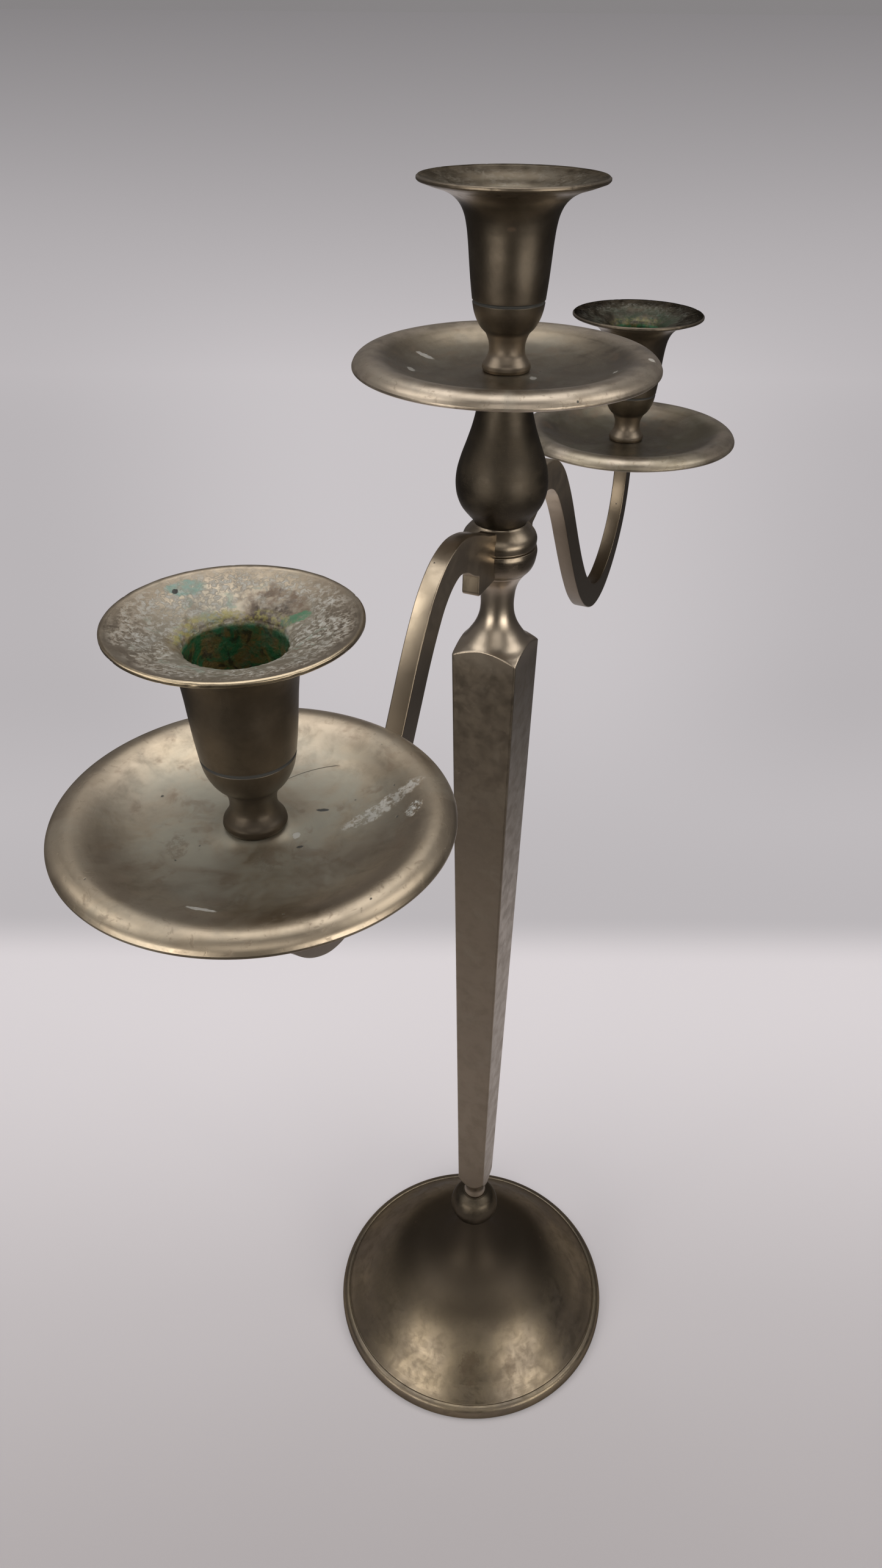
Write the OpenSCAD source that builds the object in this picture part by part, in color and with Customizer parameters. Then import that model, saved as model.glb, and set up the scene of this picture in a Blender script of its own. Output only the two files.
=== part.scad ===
// Three-light table candelabra.
// A square tapered column stands on a bell-shaped base. A turned hub on top of it
// carries two flat S-curved arms, and a pear-shaped knob lifts the middle light.
// Each light is a flared candle cup over a dished drip pan.
// Origin: centre of the base at table level. +Z is up, and the arms lie along X.

/* [Stack] */
// Height of the bell-shaped base, from the table to its neck
base_h = 70; // [66:1:74]
// Height of the knop ring between base and column
knop_h = 20; // [18:1:22]
// Height of the column, from the knop ring to the arm hub
column_h = 339; // [299:2:379]
// Height of the arm hub
hub_h = 16.5; // [15.5:0.5:18]
// Height of the pear knob above the hub
knob_h = 45.5; // [43:0.5:48]

/* [Base] */
// Diameter of the base at the table
base_d = 141; // [132:1:152]
// Wall thickness of the base
base_wall = 2.2; // [1.6:0.1:2.8]
// Thickness of the felt under the base
felt_t = 1.2; // [0.8:0.1:2]

/* [Column] */
// Width of the square column at its shoulder
column_top_w = 23.5; // [22:0.5:25]
// Width of the square column at its foot
column_foot_w = 13; // [12:0.5:14]

/* [Arms] */
// Distance from the column axis to the axis of a side light
arm_reach = 154; // [148:1:160]
// Thickness of the flat arm
arm_t = 5.8; // [5:0.1:6.4]
// Depth of the arm at its arch, seen from the side
arm_depth = 10.4; // [9:0.2:11.6]
// How far the side cup rims stand below the middle cup rim
side_drop = 65; // [60:1:70]

/* [Lights] */
// Diameter of the flared cup rim
rim_d = 54; // [51:0.5:58]
// Diameter of the candle socket
socket_d = 22.2; // [21.6:0.1:22.6]
// Depth of the straight part of the candle socket
socket_len = 12; // [10:0.5:14]
// Height of a candle cup
cup_h = 52; // [51:0.5:55]
// Diameter of a drip pan
pan_d = 93; // [89:1:98]
// Sheet thickness of a drip pan
pan_t = 1.3; // [1:0.1:1.6]

/* [Rod and fasteners] */
// Diameter of the tie rod and of the studs under the side cups
rod_d = 6; // [5.6:0.1:6.2]
// Radial clearance of a turning piece on the rod
turning_gap = 0.06; // [0.04:0.01:0.1]
// Radial clearance of a fixed piece on the rod
fixed_gap = 0.3; // [0.2:0.05:0.4]
// Thickness of the fibre washer under each pan
washer_t = 0.7; // [0.5:0.1:1]

/* [Hidden] */
$fn = 96;

plate = [0.56, 0.52, 0.46];
plate_dark = [0.45, 0.42, 0.38];
steel = [0.62, 0.62, 0.60];
iron = [0.25, 0.25, 0.26];
felt_green = [0.13, 0.22, 0.16];
fibre = [0.36, 0.20, 0.13];

// Levels of the stack
knop_z = base_h;
column_z = knop_z + knop_h;
hub_z = column_z + column_h;
knob_z = hub_z + hub_h;
centre_seat_z = knob_z + knob_h;
pan_lift = washer_t + pan_t;
centre_foot_z = centre_seat_z + pan_lift;
total_h = centre_foot_z + cup_h;
side_foot_z = total_h - side_drop - cup_h;
side_seat_z = side_foot_z - pan_lift;

rod_r = rod_d / 2;
turning_r = rod_r + turning_gap;
fixed_r = rod_r + fixed_gap;
base_r = base_d / 2;
pan_r = pan_d / 2;
rim_r = rim_d / 2;
socket_r = socket_d / 2;
thread_depth = 12;
rod_foot_z = 6;

// Chord-length spline through a list of points: n straight steps to each span
function span(a, b) = norm(b - a);
function slope(p, i) =
    i == 0 ? (p[1] - p[0]) / span(p[0], p[1]) :
    i == len(p) - 1 ? (p[i] - p[i - 1]) / span(p[i - 1], p[i]) :
    let (d0 = span(p[i - 1], p[i]), d1 = span(p[i], p[i + 1]))
    ((p[i] - p[i - 1]) / d0 * d1 + (p[i + 1] - p[i]) / d1 * d0) / (d0 + d1);
function blend(a, b, ta, tb, t) =
    (2 * pow(t, 3) - 3 * pow(t, 2) + 1) * a + (pow(t, 3) - 2 * pow(t, 2) + t) * span(a, b) * ta
    + (3 * pow(t, 2) - 2 * pow(t, 3)) * b + (pow(t, 3) - pow(t, 2)) * span(a, b) * tb;
function smooth(p, n = 3) = [
    for (i = [0 : len(p) - 2]) for (k = [0 : n - 1])
        blend(p[i], p[i + 1], slope(p, i), slope(p, i + 1), k / n),
    p[len(p) - 1]
];

// A curve moved sideways by d, to the right of its direction of travel
function unit(v) = v / norm(v);
function side_of(p, i) =
    let (a = p[max(i - 1, 0)], b = p[min(i + 1, len(p) - 1)], u = unit([b[0] - a[0], b[1] - a[1]]))
    [u[1], -u[0]];
function shifted(p, d) = [for (i = [0 : len(p) - 1]) [p[i][0], p[i][1]] + d * side_of(p, i)];
function reversed(p) = [for (i = [len(p) - 1 : -1 : 0]) p[i]];

// Part of a circle, from angle a to angle b
function arc(cx, cz, r, a, b, n) = [
    for (i = [0 : n]) let (turn = a + (b - a) * i / n) [cx + r * cos(turn), cz + r * sin(turn)]
];

module turned(outline) {
    rotate_extrude() polygon(outline);
}

// ---- Base ----
base_flare = smooth([
    [7, base_h], [7.6, base_h - 3.4], [9.2, base_h - 9], [12.2, base_h - 16],
    [16.8, base_h - 22.4], [23, base_h - 27.2], [31, base_h - 31.2], [39.5, base_h - 36.2],
    [0.66 * base_r, base_h - 42], [0.76 * base_r, base_h - 48.6], [0.85 * base_r, base_h - 55.8],
    [0.92 * base_r, 9.2], [0.945 * base_r, 7.2]
], 2);
rim_round = [
    [0.952 * base_r, 7.5], [0.968 * base_r, 7.3], [0.985 * base_r, 6.5], [0.996 * base_r, 5.2],
    [base_r, 3.8], [base_r, felt_t]
];
neck_floor_z = base_h - 12;

module felt_pad() color(felt_green) {
    cylinder(r = base_r - 0.8, h = felt_t);
}

module base_shell() color(plate) {
    inside = [for (q = shifted(base_flare, base_wall)) if (q[1] < neck_floor_z && q[1] > 7) q];
    turned(concat(
        [[fixed_r, base_h]], base_flare, rim_round,
        [[base_r - base_wall, felt_t], [base_r - base_wall, 5]],
        reversed(inside), [[inside[0][0], neck_floor_z], [fixed_r, neck_floor_z]]
    ));
}

weight_r = base_r - 16;
weight_neck_r = 6.4;
weight_foot_z = 6;
nut_pocket_r = 13;
nut_pocket_z = 15;
module base_weight() color(iron) {
    crown = smooth([
        [weight_neck_r, base_h - 22], [9, base_h - 30], [16, base_h - 37], [30, base_h - 43],
        [44, base_h - 51], [weight_r, base_h - 57]
    ]);
    turned(concat(
        [[fixed_r, nut_pocket_z], [fixed_r, neck_floor_z], [weight_neck_r, neck_floor_z]], crown,
        [[weight_r, weight_foot_z], [nut_pocket_r, weight_foot_z], [nut_pocket_r, nut_pocket_z]]
    ));
}

base_washer_r = 9;
base_washer_t = 1.6;
base_nut_r = 5.77;
base_nut_t = 5;
module base_washer() color(steel) translate([0, 0, nut_pocket_z - base_washer_t]) difference() {
    cylinder(r = base_washer_r, h = base_washer_t);
    translate([0, 0, -1]) cylinder(r = fixed_r, h = base_washer_t + 2);
}

module base_nut() color(steel) translate([0, 0, nut_pocket_z - base_washer_t - base_nut_t]) difference() {
    cylinder(r = base_nut_r, h = base_nut_t, $fn = 6);
    translate([0, 0, -1]) cylinder(r = turning_r, h = base_nut_t + 2, $fn = 96);
}

module tie_rod() color(steel) {
    translate([0, 0, rod_foot_z]) cylinder(r = rod_r, h = centre_foot_z + thread_depth - 1 - rod_foot_z);
}

knop_foot_r = 7;
knop_top_r = 5.8;
module knop_ring() color(plate_dark) {
    mid_z = knop_z + knop_h / 2;
    bulge = smooth([
        [knop_foot_r, knop_z + 0.6], [9.2, mid_z - 7], [11, mid_z - 3.8], [11.7, mid_z],
        [11, mid_z + 3.8], [9.2, mid_z + 7], [knop_top_r, column_z - 0.6]
    ]);
    turned(concat(
        [[fixed_r, knop_z], [knop_foot_r, knop_z]], bulge, [[knop_top_r, column_z], [fixed_r, column_z]]
    ));
}

// ---- Column ----
// The turned ends cut the square shaft, so its faces end in arches.
shaft_top_z = hub_z - 30;
shaft_foot_z = column_z + 10;
neck_z = hub_z - 22;
module shaft_wedge() {
    top = column_top_w / 2;
    foot = column_foot_w / 2;
    gain = (top - foot) / (shaft_top_z - shaft_foot_z);
    over = 40;
    rotate([90, 0, 0]) linear_extrude(height = 60, center = true) polygon([
        [-foot + gain * over, shaft_foot_z - over], [foot - gain * over, shaft_foot_z - over],
        [top + gain * over, shaft_top_z + over], [-top - gain * over, shaft_top_z + over]
    ]);
}

module column() color(plate) {
    head = smooth([
        [17.6, hub_z - 33.5], [17.3, hub_z - 31.4], [16.4, hub_z - 29.6], [14.2, hub_z - 27.8],
        [11.6, hub_z - 26], [9.2, hub_z - 23], [7.2, hub_z - 19.6], [6.1, hub_z - 16.4],
        [5.7, hub_z - 13.2], [5.8, hub_z - 10], [6.2, hub_z - 7], [7.2, hub_z - 4],
        [8.6, hub_z - 1.8], [9.6, hub_z - 0.6]
    ]);
    foot = smooth([
        [5.2, column_z + 0.8], [4.7, column_z + 3], [4.8, column_z + 5], [5.8, column_z + 8],
        [7.4, column_z + 10.8], [8.8, column_z + 13.4], [9.6, column_z + 17]
    ]);
    intersection() {
        turned(concat(
            [[fixed_r, column_z], [5.2, column_z]], foot, [[26, column_z + 30], [26, hub_z - 60]],
            head, [[9.8, hub_z], [fixed_r, hub_z]]
        ));
        union() {
            intersection() {
                shaft_wedge();
                rotate([0, 0, 90]) shaft_wedge();
            }
            translate([0, 0, neck_z]) cylinder(r = 20, h = hub_z - neck_z);
        }
    }
}

// ---- Arm hub and arms ----
hub_r = 12.6;
hub_slot_r = 10.4;
snug_gap = 0.03;
arm_stud_r = 1.5;
arm_stud_in = 4.6;
arm_stud_out = 21;
arm_stud_z = hub_z + 4.2;
module arm_hub() color(plate) {
    top_z = hub_z + hub_h;
    barrel = concat(
        smooth([
            [10.2, hub_z], [11.1, hub_z + 1.1], [11.9, hub_z + 2.8], [12.4, hub_z + 5],
            [hub_r, hub_z + 7], [12.3, hub_z + 8.4]
        ]),
        [[11.5, hub_z + 8.6], [11.5, hub_z + 9.1]],
        smooth([
            [12.2, hub_z + 9.3], [12.3, hub_z + 11.4], [11.8, hub_z + 12.8], [10.4, hub_z + 14.6],
            [8.8, top_z - 0.4]
        ])
    );
    difference() {
        turned(concat([[turning_r, hub_z]], barrel, [[8.6, top_z], [turning_r, top_z]]));
        for (s = [-1, 1]) {
            translate([s * (hub_slot_r + 10), 0, hub_z + hub_h / 2])
                cube([20, arm_t + 2 * snug_gap, hub_h + 2], center = true);
            translate([s * (arm_stud_in + 10), 0, arm_stud_z])
                rotate([0, 90, 0]) cylinder(r = arm_stud_r + snug_gap, h = 20, center = true);
        }
    }
}

// Middle line of the arm: distance from the column axis, height above the hub foot, depth
reach_gain = arm_reach - 154;
u_lift = side_seat_z - (hub_z - 6);
arm_line = smooth([
    [20, 12.4, 13], [25.5, 14.8, 13], [32, 17.6, 11.6], [39.4, 19, arm_depth], [47, 17.2, arm_depth],
    [54.3, 12.4, arm_depth], [60.2, 5.8, arm_depth], [66, -2.2, arm_depth], [72.8, -13.2, arm_depth],
    [80, -24.8, arm_depth], [88, -36.6, arm_depth], [97, -47.4, arm_depth],
    [106.6 + 0.2 * reach_gain, -55, arm_depth], [116.4 + 0.4 * reach_gain, -58.6, arm_depth - 0.2],
    [126 + 0.6 * reach_gain, -57.8, arm_depth - 0.6], [135 + 0.8 * reach_gain, -53.2, arm_depth - 1.2],
    [143.4 + reach_gain, -45.4, arm_depth - 2], [149.8 + reach_gain, -35.4, arm_depth - 2.6],
    [153.2 + reach_gain, -24.4 + 0.5 * u_lift, arm_depth - 3],
    [arm_reach, -12.6 + u_lift, arm_depth - 3.2]
]);
function edge(p, s) = [for (i = [0 : len(p) - 1]) [p[i][0], p[i][1]] + s * p[i][2] / 2 * side_of(p, i)];
root_r = hub_slot_r + snug_gap;
root_out_r = 25;
root_round = 2;
root_foot = 0.2;
boss_r = 6.4;
boss_h = 9;
cup_stud_foot_z = side_seat_z - boss_h + 1.4;

module arm() {
    under = edge(arm_line, 1);
    over = edge(arm_line, -1);
    lower = [for (q = under) if (q[0] > root_out_r - 1 || q[1] < 0) q];
    round_x = root_out_r - root_round;
    outline = concat(
        [[root_r, hub_h], [root_r, 0.6], [hub_r, 0.6], [hub_r + 0.6, root_foot], [round_x, root_foot]],
        arc(round_x, root_foot + root_round, root_round, -90, 0, 4), lower, reversed(over),
        [[hub_r - 1, hub_h]]
    );
    difference() {
        union() {
            translate([0, 0, hub_z])
                rotate([90, 0, 0]) linear_extrude(height = arm_t, center = true) polygon(outline);
            translate([arm_reach, 0, side_seat_z - boss_h]) turned(concat(
                [[0, 0], [3.4, 0]], smooth([[3.8, 0.2], [5.2, 1.4], [boss_r, 4]]),
                [[boss_r, boss_h], [0, boss_h]]
            ));
        }
        translate([arm_reach, 0, cup_stud_foot_z]) cylinder(r = rod_r + snug_gap, h = boss_h);
        translate([0, 0, arm_stud_z])
            rotate([0, 90, 0]) cylinder(r = arm_stud_r + snug_gap, h = arm_stud_out);
    }
}

module left_arm() color(plate) mirror([1, 0, 0]) arm();
module right_arm() color(plate) arm();

module arm_studs() color(steel) {
    for (s = [-1, 1]) translate([s * (arm_stud_in + arm_stud_out) / 2, 0, arm_stud_z])
        rotate([0, 90, 0]) cylinder(r = arm_stud_r, h = arm_stud_out - arm_stud_in, center = true);
}

module cup_studs() color(steel) {
    for (s = [-1, 1]) translate([s * arm_reach, 0, cup_stud_foot_z])
        cylinder(r = rod_r, h = side_foot_z + thread_depth - 1 - cup_stud_foot_z);
}

module pan_washer() {
    difference() {
        cylinder(r = boss_r, h = washer_t);
        translate([0, 0, -1]) cylinder(r = fixed_r, h = washer_t + 2);
    }
}

module side_pan_washers() color(fibre) {
    for (s = [-1, 1]) translate([s * arm_reach, 0, side_seat_z]) pan_washer();
}

module centre_pan_washer() color(fibre) translate([0, 0, centre_seat_z]) pan_washer();

// ---- Pear knob ----
module pear_knob() color(plate_dark) {
    top = knob_z + knob_h;
    pear = smooth([
        [8.6, knob_z + 0.5], [9.4, knob_z + 1.4], [11, knob_z + 3.2], [13, knob_z + 5.8],
        [14.3, knob_z + 9], [14.8, knob_z + 12.8], [14.5, knob_z + 16.6], [13.4, knob_z + 20.8],
        [11.4, knob_z + 26.4], [10, knob_z + 30.6], [8.9, knob_z + 35], [8.2, knob_z + 40],
        [8, top - 1.2]
    ]);
    turned(concat([[turning_r, knob_z], [8.4, knob_z]], pear, [[7.8, top], [turning_r, top]]));
}

// ---- Lights ----
// Drip pan: z = 0 is the top of the flat where the cup stands.
module pan() {
    crest_z = 5.2;
    dish = smooth([
        [10.4, -0.8], [16, -0.75], [22, -0.4], [0.56 * pan_r, 0.2], [0.64 * pan_r, 1.1],
        [0.715 * pan_r, 2.5], [0.78 * pan_r, 3.9], [0.835 * pan_r, 4.8], [0.885 * pan_r, crest_z],
        [0.93 * pan_r, crest_z - 0.3], [0.965 * pan_r, crest_z - 1.1], [0.99 * pan_r, crest_z - 2.3],
        [pan_r, crest_z - 3.3]
    ]);
    edge_z = crest_z - 4.3;
    below = [
        for (q = shifted(dish, pan_t)) if (q[0] > 11 && q[1] > -pan_t - 0.8)
            [min(q[0], pan_r - pan_t), q[1]]
    ];
    turned(concat(
        [[turning_r, -pan_t], [turning_r, 0], [9.3, 0], [9.7, -0.2]], dish,
        [[pan_r, edge_z + 0.4], [pan_r - 0.4, edge_z], [pan_r - pan_t, edge_z]],
        reversed(below), [[10.2, -0.8 - pan_t], [9.4, -pan_t]]
    ));
}

module centre_pan() color(plate) translate([0, 0, centre_foot_z]) pan();
module left_pan() color(plate) translate([-arm_reach, 0, side_foot_z]) pan();
module right_pan() color(plate) translate([arm_reach, 0, side_foot_z]) pan();

// Candle cup: z = 0 is the top of the flared rim.
module cup() {
    throat_z = -6.6;
    socket_foot_z = throat_z - socket_len;
    foot_z = -cup_h;
    taper_r = 8.8;
    socket_end_z = -32.4;
    flare_out = smooth([
        [rim_r - 0.3, -1.3], [rim_r - 3.5, -2.4], [19.6, -3.6], [16.8, -5.1], [14.8, -7.1],
        [13.5, -9.7], [12.8, -12.6], [12.3, -16.4], [11.9, -21], [11.4, -26.6], [10.8, -31.8]
    ]);
    bowl = smooth([[10.7, -32.7], [10.2, -35.2], [9.3, -37.6], [8, -39.7], [6.8, -40.9]]);
    waist = smooth([
        [6.3, -41.7], [5.7, -43.2], [5.4, -45.2], [5.6, foot_z + 5], [6.4, foot_z + 3.3],
        [7.2, foot_z + 2], [7.4, foot_z + 1]
    ]);
    flare_in = smooth([
        [socket_r, throat_z], [socket_r + 0.6, -5.7], [14, -4.4], [18, -3], [rim_r - 5.2, -1.5],
        [rim_r - 1.2, -0.35]
    ]);
    turned(concat(
        [[turning_r, foot_z], [6.8, foot_z], [7.1, foot_z + 0.2]], reversed(waist), [[6.5, -41.3]],
        reversed(bowl), [[10.4, -32.4], [10.4, -32]], reversed(flare_out),
        [[rim_r, -1], [rim_r, -0.4], [rim_r - 0.5, 0]],
        reversed(flare_in), [[socket_r, socket_foot_z], [taper_r, socket_end_z + 0.6], [0, socket_end_z]],
        [[0, foot_z + thread_depth], [turning_r, foot_z + thread_depth]]
    ));
}

module centre_cup() color(plate) translate([0, 0, total_h]) cup();
module left_cup() color(plate) translate([-arm_reach, 0, total_h - side_drop]) cup();
module right_cup() color(plate) translate([arm_reach, 0, total_h - side_drop]) cup();

felt_pad();
base_shell();
base_weight();
base_washer();
base_nut();
tie_rod();
knop_ring();
column();
arm_hub();
left_arm();
right_arm();
arm_studs();
cup_studs();
side_pan_washers();
pear_knob();
centre_pan_washer();
centre_pan();
left_pan();
right_pan();
centre_cup();
left_cup();
right_cup();
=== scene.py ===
"""An aged three-light table candelabra: fine meshes, worn plate materials, camera and lights.

Shapes are written in millimetres in each piece's own frame, and become metres when a mesh is made.
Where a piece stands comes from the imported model.
"""

import math

import bpy
from mathutils import Matrix, Vector, noise


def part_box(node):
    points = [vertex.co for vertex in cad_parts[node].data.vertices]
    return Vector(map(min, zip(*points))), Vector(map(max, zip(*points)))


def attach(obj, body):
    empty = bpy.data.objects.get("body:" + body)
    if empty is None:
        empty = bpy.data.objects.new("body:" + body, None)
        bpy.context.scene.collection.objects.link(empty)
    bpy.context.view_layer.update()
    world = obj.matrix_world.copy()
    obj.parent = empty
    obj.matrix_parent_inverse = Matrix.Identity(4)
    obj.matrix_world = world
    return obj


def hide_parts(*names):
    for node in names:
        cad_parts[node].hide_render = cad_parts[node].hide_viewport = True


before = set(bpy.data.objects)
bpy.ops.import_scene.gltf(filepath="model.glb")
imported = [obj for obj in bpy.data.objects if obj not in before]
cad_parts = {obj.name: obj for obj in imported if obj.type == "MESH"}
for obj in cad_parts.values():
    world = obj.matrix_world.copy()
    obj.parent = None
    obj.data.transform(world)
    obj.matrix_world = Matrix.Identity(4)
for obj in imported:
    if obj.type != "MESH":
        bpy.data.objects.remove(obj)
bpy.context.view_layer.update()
MM = 0.001

# ---- Where things stand, in millimetres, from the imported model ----


def low(node):
    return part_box(node)[0] / MM


def high(node):
    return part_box(node)[1] / MM


def middle_x(node):
    return round((low(node).x + high(node).x) / 2, 3)


SIDES = ("left", "centre", "right")
LIGHT_X = {side: middle_x(side + "_cup") for side in SIDES}
RIM_Z = {side: high(side + "_cup").z for side in SIDES}
FOOT_Z = {side: low(side + "_cup").z for side in SIDES}
RIM_R = (high("centre_cup").x - low("centre_cup").x) / 2
PAN_R = (high("centre_pan").x - low("centre_pan").x) / 2
BASE_R = (high("base_shell").x - low("base_shell").x) / 2
BASE_TOP = high("base_shell").z
BASE_FOOT = low("base_shell").z
KNOP_Z = low("knop_ring").z
KNOP_TOP = high("knop_ring").z
COLUMN_TOP = high("column").z
HUB_Z = low("arm_hub").z
HUB_TOP = high("arm_hub").z
KNOB_TOP = high("pear_knob").z
ARM_T = 5.8
BOSS = 9
THROAT_R = 11.1
THROAT_Z = -6.6
SOCKET = 12
GROOVE_Z = -32.2
REACH = LIGHT_X["right"]
SEAT_Z = low("side_pan_washers").z

# ---- Outlines ----


def smooth(points, steps=6):
    """A chord-length spline through points, with that many straight steps to each span."""
    pts = [Vector(p) for p in points]
    gaps = [(b - a).length for a, b in zip(pts, pts[1:])]

    def slope(i):
        if i == 0:
            return (pts[1] - pts[0]) / gaps[0]
        if i == len(pts) - 1:
            return (pts[i] - pts[i - 1]) / gaps[i - 1]
        before = (pts[i] - pts[i - 1]) / gaps[i - 1] * gaps[i]
        after = (pts[i + 1] - pts[i]) / gaps[i] * gaps[i - 1]
        return (before + after) / (gaps[i - 1] + gaps[i])

    out = []
    for i, gap in enumerate(gaps):
        a, b, ta, tb = pts[i], pts[i + 1], slope(i) * gap, slope(i + 1) * gap
        for k in range(steps):
            t = k / steps
            out.append(
                (2 * t**3 - 3 * t**2 + 1) * a + (t**3 - 2 * t**2 + t) * ta
                + (3 * t**2 - 2 * t**3) * b + (t**3 - t**2) * tb
            )
    out.append(pts[-1])
    return out


def eased(points, radius, steps=4, sharper_than=22):
    """The same outline with its corners rounded to about that radius."""
    pts = [Vector(p[:2]) for p in points]
    out = [pts[0]]
    for before, here, after in zip(pts, pts[1:], pts[2:]):
        a, b = before - here, after - here
        if a.length < 1e-6 or b.length < 1e-6:
            continue
        turn = 180 - math.degrees(a.angle(b))
        if turn < sharper_than:
            out.append(here)
            continue
        reach = min(radius * math.tan(math.radians(turn / 2)), a.length * 0.45, b.length * 0.45)
        start, end = here + a.normalized() * reach, here + b.normalized() * reach
        for k in range(steps + 1):
            t = k / steps
            out.append((1 - t) ** 2 * start + 2 * t * (1 - t) * here + t**2 * end)
    out.append(pts[-1])
    return out


def shifted(points, distance):
    """A curve moved sideways, to the right of its direction of travel."""
    out = []
    for i, p in enumerate(points):
        run = points[min(i + 1, len(points) - 1)] - points[max(i - 1, 0)]
        out.append(Vector((p.x, p.y)) + Vector((run.y, -run.x)).normalized() * distance)
    return out


# ---- Meshes ----


def finished(name, verts, faces, at, body, nodes, materials, face_material=None, flat=()):
    """A mesh object with its origin at `at`, riding on a body in place of CAD nodes."""
    mesh = bpy.data.meshes.new(name)
    mesh.from_pydata([Vector(v) * MM for v in verts], [], faces)
    for m in materials:
        mesh.materials.append(m)
    mesh.polygons.foreach_set("use_smooth", [i not in flat for i in range(len(faces))])
    if face_material:
        mesh.polygons.foreach_set("material_index", face_material)
    mesh.update()
    piece = bpy.data.objects.new(name, mesh)
    piece.location = Vector(at) * MM
    bpy.context.scene.collection.objects.link(piece)
    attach(piece, body)
    if nodes:
        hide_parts(*nodes)


def turned(name, outline, at, body, nodes, materials, inner_from=None, turns=192, uneven=None):
    """A closed turned piece. The outline runs from the axis or bore round the section and back.

    uneven(point) gives the point's worn place. From the inner_from-th step of the outline on, the
    second material is used.
    """
    verts, faces, slots, rows = [], [], [], []
    for p in outline:
        if p[0] < 1e-6:
            rows.append([len(verts)])
            verts.append(Vector((0, 0, p[1])))
            continue
        row = []
        for k in range(turns):
            angle = 2 * math.pi * k / turns
            v = Vector((p[0] * math.cos(angle), p[0] * math.sin(angle), p[1]))
            if uneven:
                v = uneven(v)
            row.append(len(verts))
            verts.append(v)
        rows.append(row)
    closed = len(rows[0]) > 1 and len(rows[-1]) > 1
    pairs = list(zip(rows, rows[1:])) + ([(rows[-1], rows[0])] if closed else [])
    for i, (a, b) in enumerate(pairs):
        for k in range(turns):
            k2 = (k + 1) % turns
            if len(a) == 1 and len(b) == 1:
                continue
            if len(a) == 1:
                faces.append((a[0], b[k], b[k2]))
            elif len(b) == 1:
                faces.append((a[k2], a[k], b[0]))
            else:
                faces.append((a[k], b[k], b[k2], a[k2]))
            slots.append(1 if inner_from is not None and i >= inner_from else 0)
    finished(name, verts, faces, at, body, nodes, materials, slots)


def bar(name, outline, thickness, bevel, at, body, nodes, materials):
    """A flat bar cut to an outline in XZ, with rounded edges.

    The outline runs anticlockwise seen from -Y.
    """
    rings = []
    half = thickness / 2
    edge_steps = 4
    for side in (-1, 1):
        steps = range(edge_steps + 1) if side < 0 else range(edge_steps, -1, -1)
        for k in steps:
            turn = math.pi / 2 * k / edge_steps
            inset = bevel * (1 - math.sin(turn))
            y = side * (half - bevel + bevel * math.cos(turn))
            rings.append((inset, y))
    n = len(outline)
    normals = []
    for i in range(n):
        run = outline[(i + 1) % n] - outline[i - 1]
        normals.append(Vector((-run.y, run.x)).normalized())
    verts = [
        (p.x + w.x * inset, y, p.y + w.y * inset)
        for inset, y in rings for p, w in zip(outline, normals)
    ]
    faces = [tuple(range(n))]
    for j in range(len(rings) - 1):
        for i in range(n):
            i2 = (i + 1) % n
            faces.append((j * n + i, (j + 1) * n + i, (j + 1) * n + i2, j * n + i2))
    faces.append(tuple(reversed(range((len(rings) - 1) * n, len(rings) * n))))
    finished(name, verts, faces, at, body, nodes, materials, flat=(0, len(faces) - 1))


# ---- Materials ----


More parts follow.
